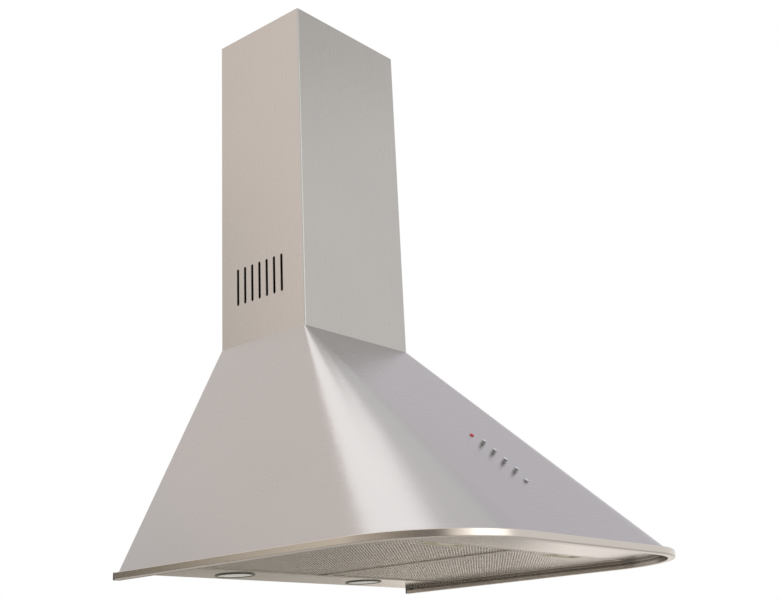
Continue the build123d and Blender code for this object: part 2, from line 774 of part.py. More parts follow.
def impeller_disc():
    """Centre disc of the wheel, with its hub, inside the middle ring."""
    disc = Cylinder(disc_radius - SHAFT_FIT, IMPELLER_DISC) + Cylinder(HUB_RADIUS, 2 * HUB_HALF)
    return wheel_place * (disc - Cylinder(SHAFT_RADIUS + SHAFT_FIT, 4 * HUB_HALF))


motor_start = HUB_HALF + MOTOR_GAP
mount_face = side_face + MOUNT_SHEET
shaft_end = motor_start + HUB_HALF


def motor_shaft():
    """Shaft from the wheel's hub into the motor."""
    return bar(-HUB_HALF - MOTOR_GAP, shaft_end, wheel_y, wheel_z, SHAFT_RADIUS)


def motor_body():
    """Motor in the wheel's right-hand eye, with a flange outside the mount."""
    end = motor_start + MOTOR_LENGTH
    motor = bar(motor_start, end, wheel_y, wheel_z, MOTOR_RADIUS)
    motor = chamfer(motor.edges().filter_by(GeomType.CIRCLE), MOTOR_BEVEL)
    motor += bar(mount_face, mount_face + MOUNT_SHEET, wheel_y, wheel_z, MOTOR_RADIUS + MOTOR_FLANGE)
    return motor - bar(0, shaft_end + MOTOR_GAP, wheel_y, wheel_z, SHAFT_RADIUS + SHAFT_FIT)


def motor_mount():
    """Three-armed spider on the right-hand inlet that carries the motor."""
    outer = INLET_RADIUS + SCROLL_WALL + 2 * MOUNT_RING
    inner = MOTOR_RADIUS + SEAT
    rim = Cylinder(outer, MOUNT_SHEET) - Cylinder(INLET_RADIUS, 2 * MOUNT_SHEET)
    eye = Cylinder(MOTOR_RADIUS + MOTOR_FLANGE, MOUNT_SHEET)
    arm_reach = INLET_RADIUS + MOUNT_RING
    arm = Pos(arm_reach / 2, 0, 0) * Box(arm_reach, MOUNT_ARM, MOUNT_SHEET)
    spider = rim + eye + [Rot(0, 0, 90 + 120 * number) * arm for number in range(3)]
    spider -= Cylinder(inner, 2 * MOUNT_SHEET)
    return Pos(side_face + MOUNT_SHEET / 2, wheel_y, wheel_z) * Rot(0, 90, 0) * spider


def run_capacitor():
    """Motor capacitor beside the left-hand half of the housing."""
    x = -(side_face + SEAT + CAPACITOR_RADIUS)
    y = neck_rear - 2 * CAPACITOR_RADIUS
    high = plate_under - FLANGE_REACH - SCROLL_WALL
    body = post(x, y, high - CAPACITOR_LENGTH, high, CAPACITOR_RADIUS)
    return chamfer(body.edges().filter_by(GeomType.CIRCLE), CAPACITOR_BEVEL)


def hexagon_screw(x, y, z):
    """Small hexagon-headed sheet screw, head up, its seat at z."""
    head = Pos(x, y, z) * extrude(RegularPolygon(SCREW_HEAD, 6, major_radius=False), SCREW_CAP)
    return head + post(x, y, z - SCREW_LENGTH, z, SCREW_RADIUS)


def blower_screws():
    """Four screws that hang the blower from the top plate."""
    screws = [hexagon_screw(x, y, canopy_top) for x in (-screw_x, screw_x) for y in screw_ys]
    return Compound(children=screws)


# ---- outlet ------------------------------------------------------------------------------

axle_z = canopy_top + FLAP_RISE
flap_radius = collar_bore - FLAP_GAP
ledge_high = axle_z - FLAP_SHEET / 2 - SEAT


def outlet_collar():
    """Duct collar with a stop ledge for the flaps and two bosses for their axle."""
    collar = post(0, middle_y, canopy_top, canopy_top + COLLAR_HEIGHT, COLLAR_RADIUS)
    collar += post(0, middle_y, canopy_top, canopy_top + COLLAR_WALL, COLLAR_RADIUS + COLLAR_FLANGE)
    collar -= post(0, middle_y, 0, 2 * canopy_top, collar_bore)
    ledge = post(0, middle_y, ledge_high - FLAP_SHEET, ledge_high, collar_bore)
    ledge -= post(0, middle_y, 0, 2 * canopy_top, collar_bore - LEDGE)
    collar += ledge
    boss = bar(collar_bore - BOSS_LENGTH, collar_bore + COLLAR_WALL / 2, middle_y, axle_z, BOSS_RADIUS)
    for side in both_sides(boss):
        collar += side
    return collar - bar(-collar_bore, collar_bore, middle_y, axle_z, AXLE_RADIUS + AXLE_FIT)


def flap_axle():
    """Rod across the collar on which both flaps turn."""
    return bar(-collar_bore + FIT, collar_bore - FIT, middle_y, axle_z, AXLE_RADIUS)


def rear_flap(knuckle_x):
    """Half disc behind the axle, on two knuckles."""
    disc = Cylinder(flap_radius, FLAP_SHEET)
    disc -= Pos(0, FLAP_SPLIT - 2 * flap_radius, 0) * Box(4 * flap_radius, 4 * flap_radius, 2 * FLAP_SHEET)
    for x in (-knuckle_x, knuckle_x):
        disc += Pos(x, FLAP_SPLIT / 2, 0) * Box(KNUCKLE_LENGTH, FLAP_SPLIT, FLAP_SHEET)
        disc += bar(x - KNUCKLE_LENGTH / 2, x + KNUCKLE_LENGTH / 2, 0, 0, KNUCKLE_RADIUS)
    return disc - bar(-flap_radius, flap_radius, 0, 0, AXLE_RADIUS + AXLE_FIT)


# ---- chimney -----------------------------------------------------------------------------


def folded_duct(inset, foot, head):
    """Three-sided section open to the wall, with rear edges folded inwards."""
    half = top_half - inset
    front = inset - CHIMNEY_DEPTH
    corner = BEND - inset / 2
    inner_corner = corner - SHEET / 2
    profile = plan(half, front, corner, foot, rear=-inset)
    profile -= plan(half - SHEET, front + SHEET, inner_corner, foot, rear=-inset - SHEET)
    duct = extrude(profile, head - foot)
    gap = half - SHEET - FOLD
    return duct - block(-gap, gap, -inset - 2 * SHEET, SHEET, foot - SHEET, head + SHEET)


chimney_head = canopy_top + CHIMNEY_HEIGHT
extension_foot = canopy_top + EXTENSION_START
extension_head = chimney_head - EXTENSION_TOP
nest = SHEET + TELESCOPE


def chimney_cover():
    """Outer section with vent slots in both sides and lugs under the inner section."""
    cover = folded_duct(0, canopy_top, chimney_head)
    slot = Rot(0, 0, 90) * SlotOverall(SLOT_LENGTH, SLOT_WIDTH)
    for number in range(SLOT_COUNT):
        y = -SLOT_BACK - SLOT_PITCH * number
        cut = Pos(y, canopy_top + SLOT_RISE) * slot
        cover -= along_x(cut, -CHIMNEY_WIDTH, CHIMNEY_WIDTH)
    lug = block(
        top_half - SHEET - LUG_REACH,
        top_half - SHEET,
        middle_y - LUG_LENGTH / 2,
        middle_y + LUG_LENGTH / 2,
        extension_foot - SEAT - LUG_HEIGHT,
        extension_foot - SEAT,
    )
    for side in both_sides(lug):
        cover += side
    return cover


def chimney_extension():
    """Inner section that draws up out of the outer one."""
    return folded_duct(nest, extension_foot, extension_head)


def wall_bracket(z, back):
    """Strap on the wall, its ends stepped forward in front of the folded rear edges."""
    strap = top_half - back - SHEET - FOLD - 3 * FIT
    reach = top_half - back - SHEET - 2 * SEAT
    step = back + SHEET + SEAT
    points = [
        (-strap, 0),
        (strap, 0),
        (strap, -step),
        (reach, -step),
        (reach, -step - BRACKET_SHEET),
        (strap - BRACKET_SHEET, -step - BRACKET_SHEET),
        (strap - BRACKET_SHEET, -BRACKET_SHEET),
        (-strap + BRACKET_SHEET, -BRACKET_SHEET),
        (-strap + BRACKET_SHEET, -step - BRACKET_SHEET),
        (-reach, -step - BRACKET_SHEET),
        (-reach, -step),
        (-strap, -step),
    ]
    bracket = Pos(0, 0, z) * extrude(make_face(Polyline(points, close=True)), BRACKET_HEIGHT)
    for x in (-BRACKET_SPAN / 2, BRACKET_SPAN / 2):
        hole = Rot(90, 0, 0) * Cylinder(BRACKET_HOLE, 4 * BRACKET_SHEET)
        bracket -= Pos(x, 0, z + BRACKET_HEIGHT / 2) * hole
    return bracket


# ---- electrics ---------------------------------------------------------------------------

box_x = BASE_WIDTH / 2 - BOX_INSET
box_back = -(SHEET + SEAT)
box_front = box_back - BOX_DEPTH


def terminal_box():
    """Open box on the back panel's inner face, left of the blower."""
    low = BOX_RISE
    box = block(-box_x - BOX_WIDTH / 2, -box_x + BOX_WIDTH / 2, box_front, box_back, low, low + BOX_HEIGHT)
    box = fillet(box.edges().filter_by(Axis.Y), BOX_WALL)
    return box - block(
        -box_x - BOX_WIDTH / 2 + BOX_WALL,
        -box_x + BOX_WIDTH / 2 - BOX_WALL,
        box_front - SHEET,
        box_back - BOX_WALL,
        low + BOX_WALL,
        low + BOX_HEIGHT - BOX_WALL,
    )


def terminal_lid():
    """Lid over the terminal box."""
    low = BOX_RISE
    lid = block(
        -box_x - BOX_WIDTH / 2, -box_x + BOX_WIDTH / 2, box_front - BOX_LID, box_front, low, low + BOX_HEIGHT
    )
    return fillet(lid.edges().filter_by(Axis.Y), BOX_WALL)


def terminal_block():
    """Connector strip inside the terminal box."""
    floor = box_back - BOX_WALL
    low = BOX_RISE + (BOX_HEIGHT - BLOCK_HEIGHT) / 2
    half = BLOCK_LENGTH / 2
    strip = block(-box_x - half, -box_x + half, floor - BLOCK_THICK, floor, low, low + BLOCK_HEIGHT)
    for number in range(3):
        x = -box_x + (number - 1) * BLOCK_LENGTH / 3
        hole = Rot(90, 0, 0) * Cylinder(SCREW_RADIUS, BLOCK_THICK)
        strip -= Pos(x, floor - BLOCK_THICK, low + BLOCK_HEIGHT / 2) * hole
    return strip


def lamp_driver():
    """Lamp supply on two feet, right of the blower."""
    low = BOX_RISE
    body = block(box_x - BOX_WIDTH / 2, box_x + BOX_WIDTH / 2, box_front, box_back, low, low + BOX_HEIGHT)
    body = fillet(body.edges().filter_by(Axis.X), 2 * BOX_WALL)
    foot_high = low + BOX_HEIGHT / 2
    for x in (box_x - BOX_WIDTH / 2 - DRIVER_FOOT, box_x + BOX_WIDTH / 2):
        body += block(x, x + DRIVER_FOOT, box_back - BOX_WALL, box_back, low + 2 * BOX_WALL, foot_high)
    return body


def cable_gland():
    """Gland for the mains lead, through the top plate beside the collar."""
    hexagon = RegularPolygon(GLAND_ACROSS / 2, 6, major_radius=False)
    gland = Pos(-GLAND_X, -GLAND_Y, canopy_top) * extrude(hexagon, GLAND_HEX)
    dome_top = canopy_top + GLAND_HEX + GLAND_DOME
    dome = post(-GLAND_X, -GLAND_Y, canopy_top + GLAND_HEX, dome_top, DOME_RADIUS)
    gland += chamfer(dome.edges().group_by(Axis.Z)[-1], DOME_BEVEL)
    gland += post(-GLAND_X, -GLAND_Y, plate_under - GLAND_TAIL, canopy_top, GLAND_NECK)
    return gland - post(-GLAND_X, -GLAND_Y, 0, dome_top + SHEET, GLAND_BORE)


# ---- write the pieces --------------------------------------------------------------------

write("canopy_shell", canopy_shell())
write("canopy_back_panel", canopy_back_panel())
write("rim_rail", rim_rail())
write("rim_end_caps", rim_end_caps())
write("base_panel", base_panel())
write("lamp_panel", lamp_panel())

for name, x in (("left", -LAMP_X), ("right", LAMP_X)):
    write(f"lamp_ring_{name}", lamp_ring(x))
    write(f"lamp_lens_{name}", lamp_lens(x))
    write(f"lamp_can_{name}", lamp_can(x))
    write(f"lamp_holder_{name}", lamp_holder(x))
    write(f"lamp_bulb_{name}", lamp_bulb(x))

filter_pieces = {
    "filter_frame": filter_frame(),
    "filter_mesh": filter_mesh(),
    "filter_pack": filter_pack(),
    "filter_grip": filter_grip(),
    "filter_latch": filter_latch(),
}
for name, piece in filter_pieces.items():
    write(f"{name}_right", piece)
    write(f"{name}_left", mirror(piece, Plane.YZ))

write("switch_block", switch_block())
write("pilot_lens", pilot_lens())
for number, place in enumerate(button_places, start=1):
    # the lowest button is latched in
    pressed = BUTTON_TRAVEL if number == BUTTON_COUNT else 0
    write(f"button_{number}", on_slope(place, push_button(pressed)))

write("blower_housing_left", blower_housing(-1))
write("blower_housing_right", blower_housing(1))
write("impeller", impeller())
write("impeller_disc", impeller_disc())
write("motor_shaft", motor_shaft())
write("motor_body", motor_body())
write("motor_mount", motor_mount())
write("run_capacitor", run_capacitor())
write("blower_screws", blower_screws())

write("outlet_collar", outlet_collar())
write("flap_axle", flap_axle())
flap_place = Pos(0, middle_y, axle_z)
write("flap_rear", flap_place * rear_flap(KNUCKLE_REAR))
write("flap_front", flap_place * mirror(rear_flap(KNUCKLE_FRONT), Plane.XZ))

write("chimney_cover", chimney_cover())
write("chimney_extension", chimney_extension())
write("lower_wall_bracket", wall_bracket(canopy_top + BRACKET_RISE, 0))
write("upper_wall_bracket", wall_bracket(extension_head - BRACKET_DROP, nest))

write("terminal_box", terminal_box())
write("terminal_lid", terminal_lid())
write("terminal_block", terminal_block())
write("lamp_driver", lamp_driver())
write("cable_gland", cable_gland())
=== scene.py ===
import json
import math

import bpy
from mathutils import Matrix, Vector


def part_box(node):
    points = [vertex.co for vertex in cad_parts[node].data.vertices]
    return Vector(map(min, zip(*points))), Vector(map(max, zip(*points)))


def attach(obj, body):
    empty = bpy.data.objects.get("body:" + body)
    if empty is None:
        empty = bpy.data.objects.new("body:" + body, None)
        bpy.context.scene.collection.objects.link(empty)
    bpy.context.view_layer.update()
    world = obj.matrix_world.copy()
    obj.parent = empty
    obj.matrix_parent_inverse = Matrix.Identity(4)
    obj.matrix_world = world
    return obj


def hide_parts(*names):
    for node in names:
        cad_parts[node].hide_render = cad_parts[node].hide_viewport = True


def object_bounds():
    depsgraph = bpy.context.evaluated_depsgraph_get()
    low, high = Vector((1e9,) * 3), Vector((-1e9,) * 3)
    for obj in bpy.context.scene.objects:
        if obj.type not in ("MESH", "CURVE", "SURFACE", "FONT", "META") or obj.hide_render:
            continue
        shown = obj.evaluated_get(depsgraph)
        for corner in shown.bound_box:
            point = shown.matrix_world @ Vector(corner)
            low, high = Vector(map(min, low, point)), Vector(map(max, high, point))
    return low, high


# Wall-mounted chimney range hood: finishes, fine pieces, light and camera.
# Metres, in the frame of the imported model: wall plane at y = 0, the hood towards -Y.

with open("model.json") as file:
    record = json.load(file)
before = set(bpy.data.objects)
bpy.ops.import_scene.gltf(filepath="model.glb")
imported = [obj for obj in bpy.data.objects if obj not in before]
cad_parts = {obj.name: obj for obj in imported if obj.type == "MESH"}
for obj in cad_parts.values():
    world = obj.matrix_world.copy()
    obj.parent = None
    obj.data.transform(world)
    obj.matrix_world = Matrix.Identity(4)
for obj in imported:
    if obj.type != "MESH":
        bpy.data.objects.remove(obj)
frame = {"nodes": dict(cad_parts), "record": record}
cad_low, cad_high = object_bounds()
nodes = frame["nodes"]

# ---- measures that the fine pieces share ---------------------------------------------------

MM = 0.001

DIAMOND_LENGTH = 6.05 * MM    # one diamond of the expanded metal, across the hood
DIAMOND_WIDTH = 4.44 * MM     # and from front to back
STRAND_WIDTH = 1.5 * MM
STRAND_HEIGHT = 0.5 * MM
STRAND_WAVE = 0.08 * MM       # every other knuckle of the expanded metal stands lower
TONGUE_NOTCH = 13.0 * MM      # width of the notch in which the latch's tongue slides
LATCH_TRAVEL = 6.5 * MM       # the notch reaches this far behind the frame's front
WHOLE_DIAMOND = 0.45          # a cut diamond smaller than this share stays closed

LENS_RIDGES = 7               # rings moulded into each lamp's glass
RIDGE_HEIGHT = 0.35 * MM
GROOVE_SHARE = 0.25           # half a groove's mouth, as a share of the rings' spacing
ROUND_SEGMENTS = 96

AXES = {"X": Vector((1, 0, 0)), "Y": Vector((0, 1, 0))}

# ---- small tools of the trade --------------------------------------------------------------


def deselect():
    """Nothing selected, so that the next operator acts on the new piece alone."""
    if bpy.context.mode != "OBJECT":
        bpy.ops.object.mode_set(mode="OBJECT")
    bpy.ops.object.select_all(action="DESELECT")


def settle(piece, name, body, material, stands_for=()):
    """Name a finished piece, put its place into its mesh and tie it to its body."""
    deselect()
    piece.select_set(True)
    bpy.context.view_layer.objects.active = piece
    bpy.ops.object.transform_apply(location=True, rotation=True, scale=True)
    piece.name = name
    piece.data.name = name
    piece.data.materials.clear()
    piece.data.materials.append(material)
    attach(piece, body)
    if stands_for:
        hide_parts(*stands_for)


def smooth(angle=30):
    """Smooth shading on the active piece, with edges sharper than the angle kept."""
    bpy.ops.object.shade_smooth_by_angle(angle=math.radians(angle))


def close_up(merge=0.00001):
    """Merge doubled points of the active piece and turn its faces outwards."""
    bpy.ops.object.mode_set(mode="EDIT")
    bpy.ops.mesh.select_all(action="SELECT")
    bpy.ops.mesh.remove_doubles(threshold=merge)
    bpy.ops.mesh.normals_make_consistent(inside=False)
    bpy.ops.object.mode_set(mode="OBJECT")


def turned(outline, segments):
    """A closed solid about Z: a disc drawn at the first (radius, height) and extruded to the next."""
    deselect()
    radius, height = outline[0]
    bpy.ops.mesh.primitive_circle_add(
        vertices=segments, radius=radius, fill_type="NGON", location=(0, 0, height)
    )
    piece = bpy.context.object
    bpy.ops.object.transform_apply(location=True)
    bpy.ops.object.mode_set(mode="EDIT")
    bpy.ops.mesh.select_all(action="SELECT")
    for next_radius, next_height in outline[1:]:
        bpy.ops.mesh.extrude_region_move()
        bpy.ops.transform.translate(value=(0, 0, next_height - height))
        share = next_radius / radius
        bpy.ops.transform.resize(value=(share, share, 1), center_override=(0, 0, next_height))
        radius, height = next_radius, next_height
    bpy.ops.object.mode_set(mode="OBJECT")
    close_up()
    return piece


# ---- finishes ------------------------------------------------------------------------------


class Finish:
    """A material that is built up from named nodes."""

    def __init__(self, name):
        self.material = bpy.data.materials.new(name)
        self.material.use_nodes = True
        self.tree = self.material.node_tree
        self.shader = self.tree.nodes["Principled BSDF"]
        self.place = self.tree.nodes.new("ShaderNodeTexCoord").outputs["Object"]

    def set(self, **values):
        """Uniform numbers, set directly on the shader."""
        for key, value in values.items():
            self.shader.inputs[key.replace("_", " ")].default_value = value
        return self

    def link(self, source, target):
        """A value that drives the shader."""
        self.tree.links.new(source, self.shader.inputs[target])

    def stretched(self, scale, turn=(0, 0, 0)):
        """The piece's own coordinates, scaled differently along each axis."""
        mapping = self.tree.nodes.new("ShaderNodeMapping")
        mapping.inputs["Scale"].default_value = scale
        mapping.inputs["Rotation"].default_value = turn
        self.tree.links.new(self.place, mapping.inputs["Vector"])
        return mapping.outputs["Vector"]

    def noise(self, vector, scale, detail=4.0, roughness=0.55):
        """Cloudy noise between nothing and one."""
        node = self.tree.nodes.new("ShaderNodeTexNoise")
        node.inputs["Scale"].default_value = scale
        node.inputs["Detail"].default_value = detail
        node.inputs["Roughness"].default_value = roughness
        self.tree.links.new(vector, node.inputs["Vector"])
        return node.outputs["Fac"]

    def cells(self, vector, scale):
        """Distance to the middle of the nearest cell."""
        node = self.tree.nodes.new("ShaderNodeTexVoronoi")
        node.inputs["Scale"].default_value = scale
        self.tree.links.new(vector, node.inputs["Vector"])
        return node.outputs["Distance"]

    def spread(self, value, low, high, start=0.3, stop=0.7):
        """A value between start and stop, laid out between low and high."""
        node = self.tree.nodes.new("ShaderNodeMapRange")
        node.inputs["From Min"].default_value = start
        node.inputs["From Max"].default_value = stop
        node.inputs["To Min"].default_value = low
        node.inputs["To Max"].default_value = high
        self.tree.links.new(value, node.inputs["Value"])
        return node.outputs["Result"]

    def blend(self, share, first, second):
        """Two colours mixed by a share."""
        node = self.tree.nodes.new("ShaderNodeMix")
        node.data_type = "RGBA"
        self.tree.links.new(share, node.inputs["Factor"])
        for socket, colour in ((node.inputs["A"], first), (node.inputs["B"], second)):
            if isinstance(colour, tuple):
                socket.default_value = (*colour, 1.0)
            else:
                self.tree.links.new(colour, socket)
        return node.outputs["Result"]

    def bump(self, height, strength, distance):
        """Fine relief, a distance deep."""
        node = self.tree.nodes.new("ShaderNodeBump")
        node.inputs["Strength"].default_value = strength
        node.inputs["Distance"].default_value = distance
        self.tree.links.new(height, node.inputs["Height"])
        self.link(node.outputs["Normal"], "Normal")

    def openness(self, reach, shut=0.35, clear=0.62):
        """One on open faces, falling to nothing in a groove no wider than the reach."""
        node = self.tree.nodes.new("ShaderNodeAmbientOcclusion")
        node.samples = 8
        node.inputs["Distance"].default_value = reach
        return self.spread(node.outputs["AO"], 0.0, 1.0, shut, clear)

    def math(self, operation, first, second):
        """Two values or numbers put together."""
        node = self.tree.nodes.new("ShaderNodeMath")
        node.operation = operation
        for socket, value in zip(node.inputs, (first, second)):
            if isinstance(value, (int, float)):
                socket.default_value = value
            else:
                self.tree.links.new(value, socket)
        return node.outputs["Value"]


def shade(colour, factor):
    """A colour made lighter or darker by a factor."""
    return tuple(part * factor for part in colour)


# painted shade for the faces deep inside the rim's groove
PAINTED_GROOVE_SHADE = (0.045, 0.036, 0.026)
PAINTED_GAP_SHADE = (0.355, 0.315, 0.26)   # painted shade in the gaps between the mesh's strands
GRAIN_UP = (1500, 1500, 5)        # brush lines that run up and down
GRAIN_LEVEL = (5, 5, 1500)        # brush lines that run level round the hood
GRAIN_ACROSS = (1500, 12, 12)     # brush lines that run from front to back


def brushed_steel(name, colour, roughness, grain, depth=0.03, contrast=0.025, recess=0.0):
    """Stainless sheet with fine brush lines, faint marks and painted shade in grooves of a depth."""
    finish = Finish(name).set(Metallic=1.0)
    lines = finish.noise(finish.stretched(grain), 1.0, detail=5.0, roughness=0.7)
    clouds = finish.noise(finish.place, 7.0, detail=2.0)
    tone = finish.math("ADD", finish.spread(lines, 0.0, 0.6), finish.spread(clouds, 0.0, 0.4))
    face = finish.blend(tone, shade(colour, 1 - contrast), shade(colour, 1 + contrast))
    # painted shade: faces deep in a groove narrower than the recess are darkened
    if recess:
        face = finish.blend(finish.openness(recess), PAINTED_GROOVE_SHADE, face)
    finish.link(face, "Base Color")
    polish = finish.math("ADD", finish.spread(lines, -0.03, 0.03), finish.spread(clouds, -0.02, 0.02))
    finish.link(finish.math("ADD", polish, roughness), "Roughness")
    finish.bump(lines, depth, 0.12 * MM)
    return finish.material


def moulded(name, colour, roughness, grain=1100.0, depth=0.25):
    """Moulded plastic with a fine spark-eroded grain."""
    finish = Finish(name)
    speck = finish.noise(finish.place, grain, detail=3.0)
    flow = finish.noise(finish.place, 18.0, detail=2.0)
    face = finish.blend(finish.spread(flow, 0.0, 1.0), shade(colour, 0.88), shade(colour, 1.1))
    finish.link(face, "Base Color")
    finish.link(finish.spread(speck, roughness - 0.08, roughness + 0.08), "Roughness")
    finish.bump(speck, depth, 0.08 * MM)
    return finish.material


def zinc_sheet():
    """Galvanised steel with its spangle."""
    finish = Finish("zinc_sheet").set(Metallic=0.9)
    spangle = finish.cells(finish.place, 95.0)
    clouds = finish.noise(finish.place, 30.0)
    flakes = finish.spread(spangle, 0.0, 0.6, 0.1, 0.8)
    tone = finish.math("ADD", flakes, finish.spread(clouds, 0.0, 0.4))
    finish.link(finish.blend(tone, (0.50, 0.52, 0.54), (0.68, 0.69, 0.70)), "Base Color")
    finish.link(finish.spread(spangle, 0.32, 0.5, 0.1, 0.8), "Roughness")
    finish.bump(clouds, 0.08, 0.2 * MM)
    return finish.material


def knitted_aluminium():
    """Layers of knitted aluminium wire behind the facing."""
    finish = Finish("knitted_aluminium").set(Metallic=0.85, Roughness=0.42)
    loops = finish.cells(finish.stretched((1, 1, 0.4)), 420.0)
    tangle = finish.noise(finish.place, 160.0, detail=5.0)
    depth = finish.math("MULTIPLY", loops, tangle)
    # painted shade: the wire is darker where the knit's relief lies deep
    wire = finish.blend(finish.spread(depth, 0.0, 1.0, 0.1, 0.4), (0.20, 0.175, 0.145), (0.62, 0.56, 0.48))
    finish.link(wire, "Base Color")
    finish.bump(depth, 0.8, 0.8 * MM)
    return finish.material


def strand_aluminium():
    """Satin aluminium of the filters' facings, a little duller down the strands, with painted shade in the
    gaps between them.
    """
    finish = Finish("strand_aluminium").set(Metallic=1.0)
    scratches = finish.noise(finish.stretched((900, 900, 200)), 1.0, detail=3.0)
    clouds = finish.noise(finish.place, 9.0)
    face = finish.blend(finish.spread(clouds, 0.0, 1.0), (0.88, 0.82, 0.74), (0.95, 0.89, 0.81))
    # painted shade: the strands are darkened where they face the gaps
    finish.link(finish.blend(finish.openness(3 * MM, 0.3, 0.95), PAINTED_GAP_SHADE, face), "Base Color")
    finish.link(finish.spread(scratches, 0.18, 0.27), "Roughness")
    finish.bump(scratches, 0.1, 0.08 * MM)
    return finish.material


def polished(name, colour, roughness):
    """Plated metal with fine wiping marks."""
    finish = Finish(name).set(Metallic=1.0)
    wipes = finish.noise(finish.stretched((260, 90, 600)), 1.0, detail=3.0)
    face = finish.blend(finish.spread(wipes, 0.0, 1.0), shade(colour, 0.95), shade(colour, 1.03))
    finish.link(face, "Base Color")
    finish.link(finish.spread(wipes, roughness, roughness + 0.07), "Roughness")
    return finish.material


def frosted_glass():
    """Acid-etched lamp glass over the bulbs."""
    finish = Finish("frosted_glass").set(IOR=1.3, Transmission_Weight=0.1, Specular_IOR_Level=0.15)
    etch = finish.noise(finish.place, 2400.0, detail=2.0)
    face = finish.blend(finish.spread(etch, 0.0, 1.0), (0.86, 0.83, 0.77), (0.94, 0.92, 0.88))
    finish.link(face, "Base Color")
    finish.link(finish.spread(etch, 0.34, 0.5), "Roughness")
    finish.bump(etch, 0.15, 0.05 * MM)
    return finish.material


def clear_glass():
    """Glass of the capsule bulbs, with a faint film."""
    finish = Finish("bulb_glass").set(IOR=1.46, Transmission_Weight=0.9)
    film = finish.noise(finish.place, 300.0)
    finish.link(finish.spread(film, 0.02, 0.08), "Roughness")
    face = finish.blend(finish.spread(film, 0.0, 1.0), (0.93, 0.94, 0.95), (1.0, 1.0, 1.0))
    finish.link(face, "Base Color")
    return finish.material


def lit_lens():
    """Red lens of the pilot lamp, glowing a little."""
    finish = Finish("pilot_red").set(Roughness=0.22, IOR=1.49)
    finish.set(Emission_Color=(1.0, 0.02, 0.04, 1.0), Emission_Strength=0.04)
    facets = finish.cells(finish.place, 1800.0)
    tone = finish.spread(facets, 0.0, 1.0, 0.0, 0.6)
    finish.link(finish.blend(tone, (0.30, 0.008, 0.015), (0.58, 0.03, 0.05)), "Base Color")
    finish.bump(facets, 0.3, 0.2 * MM)
    return finish.material


def paint(name, colour, roughness):
    """Sprayed enamel with a slight orange peel."""
    finish = Finish(name).set(Coat_Weight=0.3, Coat_Roughness=0.2)
    peel = finish.noise(finish.place, 420.0, detail=2.0)
    wear = finish.noise(finish.place, 40.0, detail=4.0)
    face = finish.blend(finish.spread(wear, 0.0, 1.0), shade(colour, 0.85), shade(colour, 1.12))
    finish.link(face, "Base Color")
    finish.link(finish.spread(wear, roughness - 0.06, roughness + 0.06), "Roughness")
    finish.bump(peel, 0.12, 0.1 * MM)
    return finish.material


chimney_steel = brushed_steel("chimney_steel", (0.47, 0.45, 0.43), 0.26, GRAIN_UP)
canopy_steel = brushed_steel("canopy_steel", (0.45, 0.435, 0.43), 0.29, GRAIN_LEVEL)
rim_steel = brushed_steel("rim_steel", (0.57, 0.52, 0.47), 0.22, GRAIN_LEVEL, recess=5 * MM)
panel_steel = brushed_steel("panel_steel", (0.55, 0.51, 0.47), 0.14, GRAIN_ACROSS, depth=0.02)
frame_aluminium = brushed_steel("frame_aluminium", (0.66, 0.61, 0.53), 0.26, GRAIN_ACROSS)
zinc = zinc_sheet()
knit = knitted_aluminium()
strands = strand_aluminium()
chrome = polished("button_chrome", (0.52, 0.52, 0.53), 0.06)
ring_metal = polished("lamp_trim", (0.13, 0.14, 0.115), 0.3)
reflector = polished("lamp_reflector", (0.86, 0.86, 0.84), 0.12)
capacitor_can = polished("capacitor_can", (0.72, 0.72, 0.71), 0.22)
lens_glass = frosted_glass()
bulb_glass = clear_glass()
pilot_red = lit_lens()
ceramic = moulded("ceramic", (0.86, 0.84, 0.78), 0.25, grain=500.0, depth=0.08)
black_plastic = moulded("black_plastic", (0.028, 0.028, 0.029), 0.46)
grey_plastic = moulded("grey_plastic", (0.20, 0.21, 0.22), 0.5)
grip_plastic = moulded("grip_plastic", (0.66, 0.60, 0.49), 0.4)
cap_plastic = moulded("cap_plastic", (0.085, 0.085, 0.068), 0.5)
connector_plastic = moulded("connector_plastic", (0.70, 0.68, 0.62), 0.42)
motor_paint = paint("motor_paint", (0.12, 0.13, 0.14), 0.4)

FINISHES = {
    "brushed_steel": chimney_steel,
    "rim_steel": rim_steel,
    "cap_plastic": cap_plastic,
    "panel_steel": panel_steel,
    "zinc_steel": zinc,
    "lamp_trim": ring_metal,
    "frosted_glass": lens_glass,
    "lamp_reflector": reflector,
    "ceramic": ceramic,
    "bulb_glass": bulb_glass,
    "black_plastic": black_plastic,
    "grey_plastic": grey_plastic,
    "pilot_red": pilot_red,
    "button_chrome": chrome,
    "motor_metal": motor_paint,
    "capacitor_can": capacitor_can,
    "connector_plastic": connector_plastic,
    "filter_aluminium": frame_aluminium,
    "filter_wool": knit,
    "grip_plastic": grip_plastic,
}
for part in frame["record"]["subparts"]:
    mesh = nodes[part["node"]].data
    mesh.materials.clear()
    mesh.materials.append(FINISHES[part["material_slot"]])
nodes["canopy_shell"].data.materials[0] = canopy_steel


# ---- grease filters ------------------------------------------------------------------------


